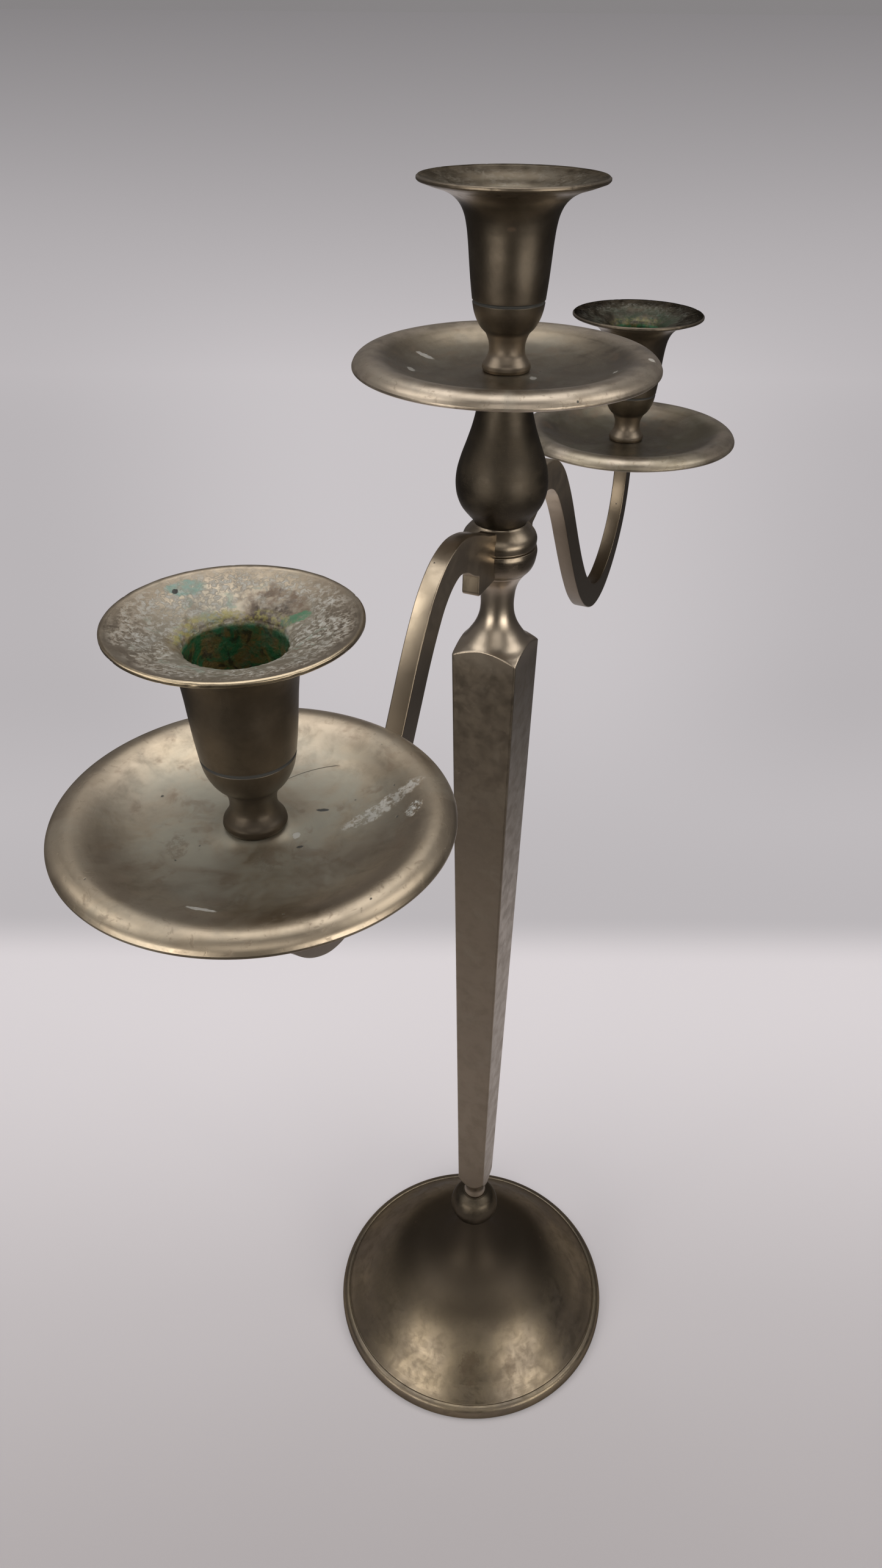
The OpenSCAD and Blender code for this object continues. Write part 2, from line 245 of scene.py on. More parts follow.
class Paint:
    """Builds one node material. Coordinates are in millimetres in the piece's own frame."""

    def __init__(self, name, seed=0.0):
        self.material = bpy.data.materials.new(name)
        self.material.use_nodes = True
        self.tree = self.material.node_tree
        self.tree.nodes.clear()
        place = self.add("TexCoord").outputs["Object"]
        self.mm = self.vector("SCALE", place, scale=1 / MM)
        self.spot = self.vector("ADD", self.mm, (seed * 37.7, seed * 91.3, seed * 53.9))
        parts = self.add("SeparateXYZ", Vector=self.mm).outputs
        self.x, self.y, self.z = parts[0], parts[1], parts[2]
        flat = self.add("CombineXYZ", X=self.x, Y=self.y).outputs[0]
        self.r = self.vector("LENGTH", flat)
        self.angle = self.math("ARCTAN2", self.y, self.x)

    def add(self, kind, **inputs):
        """A new node, with values or links for its inputs."""
        node = self.tree.nodes.new("ShaderNode" + kind)
        for key, value in inputs.items():
            self.put(node.inputs[key.replace("_", " ")], value)
        return node

    def put(self, socket, value):
        """Links an input to an output, or sets its value."""
        if isinstance(value, bpy.types.NodeSocket):
            self.tree.links.new(value, socket)
        elif isinstance(value, tuple) and socket.type == "RGBA":
            socket.default_value = (*value, 1)
        else:
            socket.default_value = value

    def vector(self, operation, a, b=None, scale=None):
        node = self.add("VectorMath")
        node.operation = operation
        self.put(node.inputs[0], a)
        if b is not None:
            self.put(node.inputs[1], b)
        if scale is not None:
            self.put(node.inputs["Scale"], scale)
        return node.outputs["Value"] if operation == "LENGTH" else node.outputs["Vector"]

    def math(self, operation, a, b=0.0):
        node = self.add("Math")
        node.operation = operation
        self.put(node.inputs[0], a)
        self.put(node.inputs[1], b)
        return node.outputs[0]

    def times(self, *values):
        """The product of its values."""
        out = values[0]
        for value in values[1:]:
            out = self.math("MULTIPLY", out, value)
        return out

    def most(self, *values):
        """The largest of its values."""
        out = values[0]
        for value in values[1:]:
            out = self.math("MAXIMUM", out, value)
        return out

    def rise(self, value, start, end, low=0.0, high=1.0):
        """A soft step from low to high as value goes from start to end."""
        node = self.add("MapRange", Value=value)
        node.interpolation_type = "SMOOTHSTEP"
        span = (("From Min", start), ("From Max", end), ("To Min", low), ("To Max", high))
        for key, number in span:
            node.inputs[key].default_value = number
        return node.outputs[0]

    def band(self, value, centre, half, soft):
        """1 within half of centre, falling to 0 over soft."""
        off = self.math("ABSOLUTE", self.math("SUBTRACT", value, centre))
        return self.rise(off, half, half + soft, 1, 0)

    def cloud(self, size, detail=4.0, rough=0.55, warp=0.0, shift=0.0):
        """Noise from 0 to 1, with features about `size` millimetres across."""
        place = self.spot
        if shift:
            place = self.vector("ADD", place, (shift, shift * 1.7, -shift))
        node = self.add(
            "TexNoise", Vector=place, Scale=1 / size, Detail=detail, Roughness=rough,
            Distortion=warp,
        )
        return node.outputs[0]

    def specks(self, spacing, radius, share, shift=0.0):
        """Round specks about `radius` across on a part of the cells `spacing` apart."""
        place = self.vector("ADD", self.spot, (shift, -shift, shift * 2.3))
        drift = self.add("TexNoise", Vector=place, Scale=1.4 / spacing).outputs["Color"]
        place = self.vector("ADD", place, self.vector("SCALE", drift, scale=spacing * 0.5))
        node = self.add("TexVoronoi", Vector=place, Scale=1 / spacing)
        near = self.rise(node.outputs["Distance"], radius / spacing * 0.6, radius / spacing, 1, 0)
        pick = self.add("SeparateXYZ", Vector=node.outputs["Color"]).outputs[0]
        return self.times(near, self.math("LESS_THAN", pick, share))

    def scratches(self, length, width, count, cut):
        """Fine straight scratches in a few directions. A higher cut leaves fewer."""
        lines = []
        for k in range(count):
            node = self.add("Mapping", Vector=self.spot)
            turn = (0.4 * k + 0.3, 0.9 * k + 0.2, 2.3 * k + 0.5)
            node.inputs["Rotation"].default_value = turn
            node.inputs["Scale"].default_value = (1 / length, 1 / width, 1 / width)
            fine = self.add("TexNoise", Vector=node.outputs[0], Scale=1, Detail=1.5, Roughness=0.5)
            lines.append(self.rise(fine.outputs[0], cut, cut + 0.05))
        return self.most(*lines)

    def mix(self, share, a, b):
        """A colour between a and b."""
        node = self.add("Mix")
        node.data_type = "RGBA"
        self.put(node.inputs["Factor"], share)
        self.put(node.inputs[6], a)
        self.put(node.inputs[7], b)
        return node.outputs[2]

    def blend(self, share, a, b):
        """A number between a and b."""
        node = self.add("Mix")
        self.put(node.inputs["Factor"], share)
        self.put(node.inputs[2], a)
        self.put(node.inputs[3], b)
        return node.outputs[0]

    def finish(self, colour, metal, rough, height, edge=1.0):
        """The finished material. height is the surface's relief in millimetres."""
        bump = self.add("Bump", Height=height, Strength=1.0, Distance=MM)
        shader = self.add(
            "BsdfPrincipled", Base_Color=colour, Metallic=metal, Roughness=rough,
            Normal=bump.outputs[0],
        )
        shader.inputs["Specular Tint"].default_value = (edge, edge, edge, 1)
        out = self.add("OutputMaterial")
        self.tree.links.new(shader.outputs[0], out.inputs["Surface"])
        return self.material


PLATE = (0.33, 0.272, 0.205)
PLATE_GOLD = (0.44, 0.355, 0.24)
PLATE_DARK = (0.14, 0.112, 0.08)
FILM = (0.22, 0.212, 0.178)
BROWN = (0.10, 0.058, 0.032)
# A soot black, also used as painted shade in the cups' groove.
SOOT_AND_SHADE = (0.035, 0.035, 0.032)
WAX = (0.70, 0.69, 0.65)


class Plate(Paint):
    """Worn satin plate with clouding, fine scratches and turning marks.

    tone scales its colour. dark, film and gold say how much tarnish, haze and bare brass it shows.
    edge is how bright it is at a glancing angle.
    """

    def __init__(
        self, name, seed, tone=1.0, dark=0.35, film=0.35, gold=0.3, rough=0.33, turned=True,
        edge=1.0,
    ):
        super().__init__(name, seed)
        self.edge = edge
        broad = self.cloud(34, detail=3)
        mottle = self.cloud(5.5, detail=6, rough=0.62, warp=0.4, shift=11)
        grain = self.cloud(0.55, detail=3, shift=5)
        plate, golden = (tuple(c * tone for c in shade) for shade in (PLATE, PLATE_GOLD))
        self.colour = self.mix(self.rise(broad, 0.35, 0.65, 0, gold), plate, golden)
        tarnish = self.times(self.rise(mottle, 0.42, 0.74), dark)
        self.colour = self.mix(tarnish, self.colour, PLATE_DARK)
        haze = self.rise(self.cloud(16, detail=5, rough=0.6, warp=0.8, shift=23), 0.47, 0.70)
        self.film = self.times(haze, film, self.rise(grain, 0.2, 0.75, 0.6, 1))
        self.metal = 1.0
        self.rough = self.blend(self.rise(mottle, 0.3, 0.7), rough - 0.05, rough + 0.08)
        lines = self.scratches(9, 0.16, 3, 0.71)
        lines = self.times(lines, self.rise(self.cloud(12, shift=31), 0.42, 0.6))
        self.height = self.times(lines, -0.012)
        self.colour = self.mix(self.times(lines, 0.35), self.colour, PLATE_GOLD)
        if turned:
            out, up = self.times(self.r, 5.0), self.times(self.z, 5.0)
            along = self.times(self.angle, 1.3)
            rings = self.add("CombineXYZ", X=out, Y=up, Z=along).outputs[0]
            marks = self.add("TexNoise", Vector=rings, Scale=1, Detail=2).outputs[0]
            self.height = self.math("ADD", self.height, self.times(marks, 0.006))
            self.rough = self.math("ADD", self.rough, self.rise(marks, 0.3, 0.7, -0.03, 0.03))
        uneven = self.times(self.cloud(2.2, detail=5, shift=3), 0.03)
        self.height = self.math("ADD", self.height, uneven)

    def cover(self, share, colour, rough, metal=0.0, height=0.0):
        """Lays something over what is there: share is where, from 0 to 1."""
        self.colour = self.mix(share, self.colour, colour)
        self.rough = self.blend(share, self.rough, rough)
        self.metal = self.blend(share, self.metal, metal)
        if height:
            self.height = self.math("ADD", self.height, self.times(share, height))

    def pits(self, spacing, radius, share):
        """Small dark pits, and fewer, wider and paler ones among them."""
        self.cover(self.times(self.specks(spacing, radius, share), 0.85), SOOT_AND_SHADE, 0.6, 0.2, -0.05)
        wider = self.specks(spacing * 2.1, radius * 2.4, share, 17)
        self.cover(self.times(wider, 0.45), BROWN, 0.5, 0.4, -0.02)

    def done(self):
        """Adds the haze over everything and gives the finished material."""
        self.cover(self.film, FILM, 0.52, 0.45)
        return self.finish(self.colour, self.metal, self.rough, self.height, self.edge)


def plain_plate(name, seed, **look):
    """Worn plate with pits and nothing else."""
    paint = Plate(name, seed, **look)
    paint.pits(9, 0.4, 0.3)
    return paint.done()


def cup_outside(name, seed, rim_wear, foot_tone):
    """Dark brown-grey barrel, with a foot of its own tone and a worn rim edge."""
    paint = Plate(name, seed, dark=0.5, film=0.08, gold=0.15, rough=0.32)
    below_lip = paint.rise(paint.z, -7, -3, 1, 0)
    clouded = paint.rise(paint.cloud(14, shift=7), 0.3, 0.7, 0.76, 0.96)
    paint.cover(paint.times(below_lip, clouded), (0.072, 0.058, 0.043), 0.42, 0.95)
    # Painted shade: a dark band laid in the groove round the barrel, in the soot-black colour.
    groove = paint.times(paint.band(paint.z, GROOVE_Z, 0.3, 0.3), 0.95)
    paint.cover(groove, SOOT_AND_SHADE, 0.7, 0.2)
    foot_colour = (foot_tone, foot_tone * 0.81, foot_tone * 0.61)
    paint.cover(paint.rise(paint.z, -42, -40, 0.9, 0), foot_colour, 0.43, 0.95)
    lip = paint.times(paint.rise(paint.r, RIM_R - 1.0, RIM_R - 0.3), rim_wear)
    paint.cover(lip, PLATE_GOLD, 0.28, 1.0)
    dulled = paint.times(paint.rise(paint.r, RIM_R - 3.0, RIM_R - 1.0), 0.85 - rim_wear)
    paint.cover(dulled, (0.078, 0.062, 0.046), 0.45, 0.9)
    paint.pits(8, 0.45, 0.3)
    return paint.done()


def cup_inside(name, seed, residue, verdigris, tone=1.0, soot=0.0, extras=None):
    """The funnel and socket: clean towards the lip, crusted near the throat, green below it."""
    paint = Plate(
        name, seed, tone=tone, dark=0.45, film=0.5 * tone, gold=0.2, rough=0.36, edge=tone**2,
    )
    near_hole = paint.rise(paint.r, 12, 25.5, 1, 0)
    flakes = paint.cloud(1.3, detail=8, rough=0.72, warp=0.6, shift=2)
    patches = paint.cloud(9, detail=4, rough=0.6, warp=0.6, shift=9)
    crust = paint.times(paint.rise(flakes, 0.45, 0.60), paint.rise(patches, 0.36, 0.58), residue)
    paint.cover(paint.times(near_hole, residue, 0.55), (0.34, 0.315, 0.25), 0.46, 0.6)
    stain = paint.rise(paint.cloud(8, detail=5, warp=0.7, shift=41), 0.52, 0.68)
    stain = paint.times(stain, near_hole, 0.7 * residue)
    paint.cover(stain, (0.15, 0.105, 0.065), 0.55, 0.35)
    crust = paint.times(crust, paint.rise(paint.r, 22, 26.5, 1, 0), 0.85)
    paint.cover(crust, (0.50, 0.485, 0.44), 0.75, 0.05, 0.05)
    sea = paint.rise(paint.cloud(6, detail=6, rough=0.65, warp=1.2, shift=63), 0.56, 0.66)
    sea = paint.times(sea, near_hole, verdigris)
    paint.cover(paint.times(sea, 0.6), (0.22, 0.36, 0.30), 0.7, 0.05, 0.04)
    if extras:
        extras(paint)
    if soot:
        sooty = paint.times(near_hole, paint.rise(patches, 0.35, 0.6), soot)
        paint.cover(sooty, (0.035, 0.05, 0.03), 0.55, 0.2)
    # Yellow crumbs on the throat's edge on its far side only (+X +Y): partly residue, partly a
    # painted glint on that edge.
    behind = paint.times(paint.rise(paint.math("ADD", paint.y, paint.x), 0, 8), residue, 0.75)
    crumbs = paint.rise(paint.cloud(1.5, detail=7, rough=0.65, shift=8), 0.42, 0.60)
    lime_and_glint = paint.times(paint.band(paint.r, THROAT_R + 0.9, 0.9, 1.5), crumbs, behind)
    paint.cover(lime_and_glint, (0.34, 0.30, 0.075), 0.6, 0.0, 0.05)
    inside = paint.rise(paint.z, -7.6, -6.2, 1, 0)
    ochre = paint.rise(paint.cloud(4, detail=6, rough=0.65, warp=0.8, shift=77), 0.42, 0.58)
    green = paint.mix(ochre, (0.024, 0.16, 0.06), (0.20, 0.14, 0.04))
    black = paint.rise(paint.cloud(3, detail=5, warp=0.6, shift=88), 0.52, 0.62, 0, 0.8)
    green = paint.mix(black, green, (0.012, 0.015, 0.008))
    # Painted light: brighter green patches only near the mouth of the socket, over the verdigris,
    # so it reads darker deeper in.
    bright = paint.rise(paint.cloud(4, detail=4, shift=97), 0.4, 0.6)
    bright = paint.times(paint.rise(paint.z, -10, -6.5), bright)
    green = paint.mix(bright, green, (0.03, 0.22, 0.11))
    green = paint.mix(1 - verdigris, green, (0.035, 0.03, 0.02))
    paint.cover(inside, green, 0.34, 0.1, 0.0)
    lumps = paint.times(inside, paint.cloud(1.6, detail=5, shift=71), 0.5)
    paint.height = paint.math("ADD", paint.height, lumps)
    return paint.done()


def pan_plate(name, seed, film, extras=None, tone=1.0, crest_wear_and_highlight_colour=(0.43, 0.355, 0.265)):
    """Drip pan: clouded floor, a crest bright with wear and a painted highlight, pits along the
    edge.
    """
    paint = Plate(name, seed, tone=tone, dark=0.45, film=0.35, gold=0.45, rough=0.35)
    floor = paint.rise(paint.r, 24, 40, 1, 0)
    cloudy = paint.cloud(13, detail=6, rough=0.62, warp=0.6, shift=19)
    cloudy = paint.times(floor, paint.rise(cloudy, 0.36, 0.66, 0.25, 1), film)
    paint.cover(cloudy, tuple(c * tone for c in (0.31, 0.295, 0.24)), 0.46, 0.55)
    rust = paint.times(paint.rise(paint.cloud(7, detail=5, warp=0.5, shift=29), 0.56, 0.7), 0.5)
    paint.cover(rust, (0.19, 0.13, 0.085), 0.45, 0.6)
    # The crest is painted brighter all round: partly bare worn brass, partly a painted highlight.
    crest = paint.rise(paint.r, PAN_R - 11, PAN_R - 6)
    rubbed_and_highlit = paint.times(crest, paint.rise(paint.cloud(10, shift=51), 0.3, 0.6, 0.35, 0.8))
    paint.cover(rubbed_and_highlit, crest_wear_and_highlight_colour, 0.40, 1.0)
    worn = paint.rise(paint.cloud(2.6, detail=7, rough=0.7, warp=0.8, shift=57), 0.54, 0.66)
    paint.cover(paint.times(crest, worn, 0.45), (0.17, 0.125, 0.085), 0.5, 0.8, -0.02)
    paint.pits(6, 0.45, 0.4)
    if extras:
        extras(paint)
    return paint.done()


def steel(name, colour, rough, metal, size):
    """Plain turned metal, fibre or felt for the hidden pieces."""
    paint = Paint(name, 3.0)
    grain = paint.cloud(size, detail=5, rough=0.6)
    colour = paint.mix(paint.rise(grain, 0.3, 0.7), colour, tuple(c * 0.7 for c in colour))
    rough = paint.blend(grain, rough - 0.06, rough + 0.06)
    return paint.finish(colour, metal, rough, paint.times(grain, 0.05))


def patch(paint, x, y, length, width, tilt):
    """1 inside an oval at a place on a pan or cup, with a ragged edge; the tilt is in degrees."""
    node = paint.add("Mapping", Vector=paint.vector("ADD", paint.mm, (-x, -y, 0)))
    node.vector_type = "POINT"
    node.inputs["Rotation"].default_value = (0, 0, math.radians(-tilt))
    ragged = paint.add("TexNoise", Vector=paint.spot, Scale=0.45, Detail=6, Roughness=0.7)
    ragged = paint.vector("SUBTRACT", ragged.outputs["Color"], (0.5, 0.5, 0.5))
    place = paint.vector("ADD", node.outputs[0], paint.vector("SCALE", ragged, scale=width * 0.9))
    spread = paint.vector("MULTIPLY", place, (1 / length, 1 / width, 0))
    return paint.rise(paint.vector("LENGTH", spread), 0.42, 0.56, 1, 0)


def near_pan_marks(paint):
    """Flaked wax on one side, a chip of it on the other, dark flecks and a thin curved scratch."""
    flakes = paint.rise(paint.cloud(1.4, detail=7, rough=0.7, shift=14), 0.42, 0.56)
    smear = paint.times(patch(paint, 16.1, -24.6, 22, 4.6, -30), flakes, 0.6)
    paint.cover(smear, WAX, 0.7, 0.0, 0.05)
    crumb = paint.times(patch(paint, 15.3, -33.1, 6, 3.4, 0), flakes, 0.95)
    paint.cover(crumb, WAX, 0.7, 0.0, 0.15)
    paint.cover(paint.times(patch(paint, -33.3, -7.7, 7, 1.6, 95), 0.8), WAX, 0.6, 0.0, 0.1)
    paint.cover(paint.times(patch(paint, -40, -28, 4, 2.2, 120), 0.45), WAX, 0.6, 0.0, 0.05)
    paint.cover(paint.times(patch(paint, 11.4, -11.3, 3.2, 1.2, -66), 0.95), SOOT_AND_SHADE, 0.5, 0.0, 0.05)
    paint.cover(paint.times(patch(paint, -3.1, -13.3, 1.6, 0.8, -40), 0.9), SOOT_AND_SHADE, 0.5, 0.0, 0.05)
    paint.cover(paint.times(patch(paint, 24.8, 28.2, 9, 4, 150), flakes, 0.55), SOOT_AND_SHADE, 0.5, 0.3)
    paint.cover(paint.times(patch(paint, -14.4, 11.7, 9, 5, 30), flakes, 0.35), BROWN, 0.5, 0.3)
    paint.cover(paint.times(patch(paint, -12.3, -9, 7, 4, 70), flakes, 0.35), BROWN, 0.5, 0.3)
    paint.cover(paint.times(patch(paint, 0, -10.5, 2.4, 1.6, 0), 0.6), WAX, 0.6, 0.1, 0.03)
    from_middle = paint.vector("ADD", paint.mm, (-10.8, 13.4, 0))
    ring = paint.vector("LENGTH", paint.vector("MULTIPLY", from_middle, (1, 1, 0)))
    part = paint.times(paint.rise(paint.y, -7.4, -5.9), paint.rise(paint.x, 17.1, 18.6))
    hair = paint.times(paint.band(ring, 18.1, 0.06, 0.12), part, 0.85)
    paint.cover(hair, (0.05, 0.04, 0.03), 0.5, 0.4, -0.03)


def centre_pan_marks(paint):
    """A few specks of wax on the dish and its edge."""
    for x, y, length, width, tilt in (
        (2.8, 28.1, 6, 2.6, 84), (-14, 25, 4, 2.4, 30), (2.4, -33.1, 2, 1.6, 0),
        (10.2, -41.6, 3, 2, 10), (-3.2, -9.8, 3, 2, 0),
    ):
        speck = paint.times(patch(paint, x, y, length, width, tilt), 0.5)
        paint.cover(speck, WAX, 0.65, 0.0, 0.08)


def far_pan_marks(paint):
    """A dull olive bloom over the dish."""
    bloom = paint.times(paint.rise(paint.cloud(20, shift=33), 0.4, 0.6), 0.35)
    paint.cover(bloom, (0.16, 0.15, 0.09), 0.45, 0.7)


def near_cup_marks(paint):
    """Brown burns behind and beside the socket, a little verdigris and one black fleck."""
    flakes = paint.rise(paint.cloud(1.8, detail=6, rough=0.65, shift=52), 0.38, 0.6, 0.3, 1)
    ragged = paint.rise(paint.cloud(3, detail=5, shift=61), 0.3, 0.7, -3, 3)
    ragged = paint.math("ADD", paint.r, ragged)
    for angle, half, reach, share, colour in (
        (-0.08, 0.36, 21, 0.8, (0.14, 0.085, 0.05)),
        (-0.12, 0.3, 17, 0.9, (0.045, 0.028, 0.016)),
        (1.9, 0.45, 16.5, 0.8, (0.13, 0.085, 0.03)),
    ):
        edge = paint.rise(ragged, reach - 4, reach, 1, 0)
        burn = paint.times(paint.band(paint.angle, angle, half, 0.25), edge, flakes, share)
        paint.cover(burn, colour, 0.55, 0.15)
    teal = paint.times(patch(paint, 10.8, 19, 9, 4.5, -40), flakes, 0.75)
    paint.cover(teal, (0.20, 0.36, 0.31), 0.65, 0.05, 0.03)
    green = paint.times(patch(paint, 12.6, -7.2, 7, 3.4, -60), flakes, 0.8)
    paint.cover(green, (0.05, 0.20, 0.10), 0.65, 0.05, 0.03)
    paint.cover(patch(paint, 8.2, 20.2, 1.7, 1.3, 0), SOOT_AND_SHADE, 0.6, 0.1)


def column_plate():
    """Duller on the square shaft than on the turned head."""
    paint = Plate(
        "column_plate", 1.0, tone=0.82, dark=0.2, film=0.15, gold=0.1, rough=0.34, turned=False,
    )
    worn = paint.rise(paint.z, COLUMN_TOP - KNOP_TOP - 36, COLUMN_TOP - KNOP_TOP - 26)
    paint.cover(paint.times(worn, 0.8), (0.50, 0.42, 0.33), 0.33, 1.0)
    paint.pits(9, 0.4, 0.3)
    return paint.done()


COLUMN_PLATE = column_plate()
HUB_PLATE = plain_plate("hub_plate", 2.0, tone=0.8, dark=0.35, film=0.1, gold=0.3)


def arm_plate():
    """Bright over the bend, and painted darker brown down the slope as painted shade."""
    paint = Plate(
        "arm_plate", 3.0, tone=1.4, dark=0.1, film=0.0, gold=0.3, rough=0.34, turned=False,
    )
    # Painted shade: darker brown lower down the arm, leaving the bend as a painted highlight.
    paint.cover(paint.rise(paint.z, -12, 14, 0.85, 0), (0.145, 0.115, 0.082), 0.38, 1.0)
    paint.pits(9, 0.4, 0.3)
    return paint.done()


ARM_PLATE = arm_plate()
KNOB_PLATE = plain_plate("knob_plate", 4.0, tone=0.24, dark=0.4, film=0.0, gold=0.1, rough=0.5)
KNOP_PLATE = plain_plate(
    "knop_plate", 5.0, tone=0.24, dark=0.5, film=0.0, gold=0.3, rough=0.42, edge=0.4,
)


def base_plate():
    """Brown, with painted shade darker round the neck, and a few blots low on one side."""
    paint = Plate("base_plate", 6.0, tone=0.56, dark=0.5, film=0.0, gold=0.9, rough=0.38, edge=0.35)
    # Painted shade: two darker rings round the neck, darkest nearest it.
    paint.cover(paint.rise(paint.r, 34, 50, 0.85, 0), (0.062, 0.048, 0.034), 0.44, 0.95)
    paint.cover(paint.rise(paint.r, 16, 34, 0.75, 0), (0.05, 0.039, 0.028), 0.6, 0.8)
    blotted = paint.rise(paint.cloud(5, detail=5, shift=47), 0.3, 0.6, 0.3, 1)
    for x, y, length, width, share in (
        (-51, -20, 12, 10, 0.55), (-41, -38, 7, 6, 0.3), (-45, -33, 14, 10, 0.15),
    ):
        blot = paint.times(patch(paint, x, y, length, width, 20), blotted, share)
        paint.cover(blot, (0.075, 0.05, 0.03), 0.45, 0.7)
    paint.pits(9, 0.4, 0.3)
    return paint.done()


BASE_PLATE = base_plate()
# The paler crest colour given to the centre and right pans is partly a painted highlight.
PAN_PLATE = {
    "left": pan_plate("left_pan_plate", 7.0, 0.85, near_pan_marks, 1.2),
    "centre": pan_plate("centre_pan_plate", 8.0, 0.35, centre_pan_marks, 0.72, (0.56, 0.475, 0.38)),
    "right": pan_plate("right_pan_plate", 9.0, 0.3, far_pan_marks, 0.56, (0.56, 0.475, 0.38)),
}
CUP_PLATE = {
    "left": cup_outside("left_cup_plate", 10.0, 0.85, 0.10),
    "centre": cup_outside("centre_cup_plate", 11.0, 0.2, 0.27),
    "right": cup_outside("right_cup_plate", 12.0, 0.1, 0.27),
}
CUP_INSIDE = {
    "left": cup_inside("left_cup_inside", 14.0, 0.95, 0.8, extras=near_cup_marks),
    "centre": cup_inside("centre_cup_inside", 15.0, 0.15, 0.1, tone=0.52),
    "right": cup_inside("right_cup_inside", 16.0, 0.25, 0.7, tone=0.2, soot=0.95),
}
STEEL = steel("steel_rod", (0.55, 0.55, 0.54), 0.35, 1.0, 1.5)
IRON = steel("rough_iron", (0.06, 0.06, 0.065), 0.7, 0.6, 1.0)
FELT = steel("green_felt", (0.03, 0.07, 0.045), 0.9, 0.0, 0.4)
FIBRE = steel("red_fibre", (0.20, 0.08, 0.045), 0.6, 0.0, 0.8)

# ---- Base, knop and column ----


def make_base():
    """A spun bell: a flared neck, a dome, a small step and a rounded rim. It is open below."""
    top, wall = BASE_TOP, 2.2
    flare = smooth([
        (7, top), (7.6, top - 3.4), (9.2, top - 9), (12.2, top - 16), (16.8, top - 22.4),
        (23, top - 27.2), (31, top - 31.2), (39.5, top - 36.2), (0.66 * BASE_R, top - 42),
        (0.76 * BASE_R, top - 48.6), (0.85 * BASE_R, top - 55.8), (0.92 * BASE_R, 9.2),
        (0.945 * BASE_R, 7.2),
    ], 5)
    rim = smooth([
        (0.952 * BASE_R, 7.5), (0.968 * BASE_R, 7.3), (0.985 * BASE_R, 6.5), (0.996 * BASE_R, 5.2),
        (BASE_R, 3.8), (BASE_R, 1.5),
    ], 4)
    inside = [p for p in shifted(flare, wall) if 7 < p.y < 56]
    outline = eased([
        (3.4, top), *flare, *rim, (BASE_R - 0.3, BASE_FOOT), (BASE_R - wall, BASE_FOOT),
        (BASE_R - wall, 5), *reversed(inside), (3.4, 58),
    ], 0.25)
    turned("base_bell", outline, (0, 0, 0), "root", ["base_shell"], [BASE_PLATE], turns=256)


def make_knop():
    """The bead between base and column."""
    mid = (KNOP_TOP - KNOP_Z) / 2
    top = KNOP_TOP - KNOP_Z
    bulge = smooth([
        (7, 0.6), (9.2, mid - 7), (11, mid - 3.8), (11.7, mid), (11, mid + 3.8), (9.2, mid + 7),
        (5.8, top - 0.6),
    ], 8)
    outline = eased([(3.4, 0), (7, 0), *bulge, (5.8, top), (3.4, top)], 0.2)
    at = (0, 0, KNOP_Z)
    turned("knop_bead", outline, at, "root", ["knop_ring"], [KNOP_PLATE], turns=128)


def column_angles():
    """Angles round the column, close together at its four edges."""
    offsets = (0, 0.7, 1.4, 2.1, 2.9, 3.8, 5, 6.5, 8.5, 11, 14, 17, 20, 23, 26, 29, 32, 35, 38, 41)
    quarter = sorted({-45.0, *(-a for a in offsets), *offsets})
    return [math.radians(45 + 90 * q + a) for q in range(4) for a in quarter]


def square_radius(half, angle, edge):
    """How far a square with rounded corners reaches at an angle."""
    c, s = abs(math.cos(angle)), abs(math.sin(angle))
    big, small = max(c, s), min(c, s)
    straight = half / big
    if straight * small <= half - edge:
        return straight
    corner = half - edge
    along = corner * (c + s)
    return along + math.sqrt(max(along**2 - 2 * corner**2 + edge**2, 0))


def softer_of(a, b, width=0.22):
    """The smaller of two radii, with the crease between them rounded."""
    h = max(width - abs(a - b), 0) / width
    return min(a, b) - h * h * width / 4


def make_column():
    """A turned envelope cut to a square shaft that tapers downwards."""
    top = COLUMN_TOP - KNOP_TOP
    wide, narrow, edge = 11.75, 6.5, 0.7
    shaft_foot, shaft_top, round_above = 10.0, top - 30, top - 22
    head = smooth([
        (17.6, top - 33.5), (17.3, top - 31.4), (16.4, top - 29.6), (14.2, top - 27.8),
        (11.6, top - 26), (9.2, top - 23), (7.2, top - 19.6), (6.1, top - 16.4), (5.7, top - 13.2),
        (5.8, top - 10), (6.2, top - 7), (7.2, top - 4), (8.6, top - 1.8), (9.6, top - 0.6),
    ], 12)
    foot = smooth([
        (5.2, 0.8), (4.7, 3), (4.8, 5), (5.8, 8), (7.4, 10.8), (8.8, 13.4), (9.6, 17),
    ], 10)
    # Along the shaft the envelope stands clear of the square, so that the square sets the shape.
    shaft = [(30.0, 17.5 + (top - 52) * k / 60) for k in range(1, 61)]
    envelope = [(3.4, 0), (5.2, 0), *foot, *shaft, *head, (9.8, top), (3.4, top)]
    envelope = eased(envelope, 0.2, sharper_than=30)
    angles = column_angles()
    verts = []
    for p in envelope:
        half = narrow + (wide - narrow) * (p.y - shaft_foot) / (shaft_top - shaft_foot)
        for a in angles:
            r = p.x if p.y > round_above else softer_of(p.x, square_radius(half, a, edge))
            verts.append((r * math.cos(a), r * math.sin(a), p.y))
    n, rows = len(angles), len(envelope)
    faces = []
    for i in range(rows):
        a, b = i * n, ((i + 1) % rows) * n
        faces += [(a + k, a + (k + 1) % n, b + (k + 1) % n, b + k) for k in range(n)]
    at = (0, 0, KNOP_TOP)
    finished("column_shaft", verts, faces, at, "root", ["column"], [COLUMN_PLATE])


# ---- Hub, arms and knob ----


